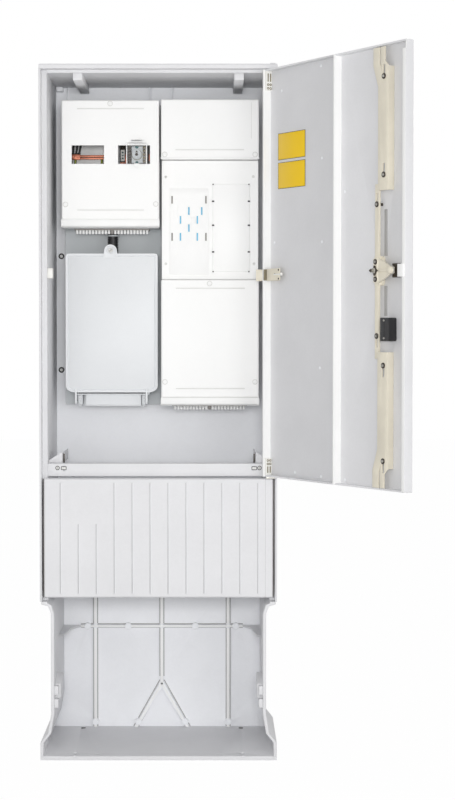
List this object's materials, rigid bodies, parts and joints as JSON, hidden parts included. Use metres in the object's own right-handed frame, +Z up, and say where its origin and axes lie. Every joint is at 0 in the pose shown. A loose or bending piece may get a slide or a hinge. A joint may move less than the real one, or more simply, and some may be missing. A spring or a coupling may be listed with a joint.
{
  "type": "electric meter cabinet",
  "caption": "Free-standing outdoor electric meter cabinet on a pedestal, with a hinged door, a bar lock, meter and distribution fields and a sealed service box.",
  "frame": {"origin": "centre of the underside of the base plate", "axes": "+Z up, +X to the right of someone facing the open door side, +Y to the back"},
  "size_m": [0.8744, 0.8052, 1.733],
  "materials": {
    "housing_grey": "satin",
    "rear_white": "satin",
    "cover_white": "satin",
    "board_grey": "satin",
    "box_grey": "satin",
    "white_fitting": "satin",
    "white_screw": "satin",
    "black_plastic": "satin",
    "cable_black": "matte",
    "wire_green": "matte",
    "copper": "satin",
    "steel": "satin",
    "lock_cream": "satin",
    "label_yellow": "satin",
    "clear": "clear"
  },
  "bodies": {
    "cabinet": {"base_plate": "housing_grey", "busbar_supports": "board_grey", "busbars": "copper", "conduit": "black_plastic", "contact_plate": "cover_white", "cover_screws": "white_screw", "crossbar": "housing_grey", "din_rail": "steel", "distribution_cover": "cover_white", "distribution_entry_comb": "board_grey", "distribution_housing": "board_grey", "earth_wires": "wire_green", "feeder_cables": "cable_black", "left_side_wall": "housing_grey", "left_strut": "housing_grey", "lower_connection_cover": "cover_white", "lower_hinge_pin": "steel", "lower_sill": "housing_grey", "main_switch": "board_grey", "meter_entry_comb": "board_grey", "meter_housing": "board_grey", "meter_plate": "cover_white", "mounting_board": "board_grey", "pedestal_clips": "housing_grey", "pedestal_cover": "housing_grey", "pedestal_left_wall": "housing_grey", "pedestal_rear_wall": "housing_grey", "pedestal_right_wall": "housing_grey", "plate_and_seal_screws": "white_screw", "rear_wall": "rear_white", "right_side_wall": "housing_grey", "right_strut": "housing_grey", "roof": "housing_grey", "service_box_base": "box_grey", "service_box_lid": "box_grey", "service_entry_box": "box_grey", "shell_screws": "black_plastic", "snap_clips": "black_plastic", "snap_panel": "cover_white", "stay_bracket": "lock_cream", "strike_block": "white_fitting", "switch_bezel": "board_grey", "upper_connection_cover": "cover_white", "upper_hinge_pin": "steel"},
    "door": {"door_leaf": "housing_grey", "hinge_blocks": "white_fitting", "stay_plate": "lock_cream", "label_plates": "label_yellow", "catch_block": "lock_cream", "lock_case": "lock_cream", "lock_screws": "steel", "lock_cover": "black_plastic", "handle_plate": "black_plastic"},
    "latch": {"latch_arm": "lock_cream", "latch_roller": "lock_cream", "handle_lever": "black_plastic"},
    "upper_bar": {"upper_lock_bar": "lock_cream"},
    "lower_bar": {"lower_lock_bar": "lock_cream"},
    "switch_lid": {"switch_lid": "clear"},
    "switch_knob": {"switch_knob": "board_grey"}
  },
  "joints": [
    {"name": "door_swing", "type": "hinge", "parent": "cabinet", "child": "door", "pos_m": [0.279, -0.155, 1.2], "axis": [0, 0, 1], "range_deg": [-121.7, 0]},
    {"name": "handle_turn", "type": "hinge", "parent": "door", "child": "latch", "pos_m": [0.50652, -0.55573, 1.2063], "axis": [-0.8508, -0.5255, 0], "range_deg": [-90, 0]},
    {"name": "upper_bar_slide", "type": "slide", "parent": "door", "child": "upper_bar", "axis": [0, 0, 1], "range_m": [-0.022, 0]},
    {"name": "lower_bar_slide", "type": "slide", "parent": "door", "child": "lower_bar", "axis": [0, 0, 1], "range_m": [0, 0.022]},
    {"name": "switch_turn", "type": "hinge", "parent": "cabinet", "child": "switch_knob", "pos_m": [-0.05801, -0.026, 1.5195], "axis": [0, 1, 0], "range_deg": [0, 90]},
    {"name": "switch_lid_lift", "type": "hinge", "parent": "cabinet", "child": "switch_lid", "pos_m": [-0.05801, -0.027, 1.555], "axis": [1, 0, 0], "range_deg": [-110, 0]}
  ],
  "couplings": [
    {"joint": "upper_bar_slide", "follows": "handle_turn", "m_per_rad": 0.014006},
    {"joint": "lower_bar_slide", "follows": "handle_turn", "m_per_rad": -0.014006}
  ]
}
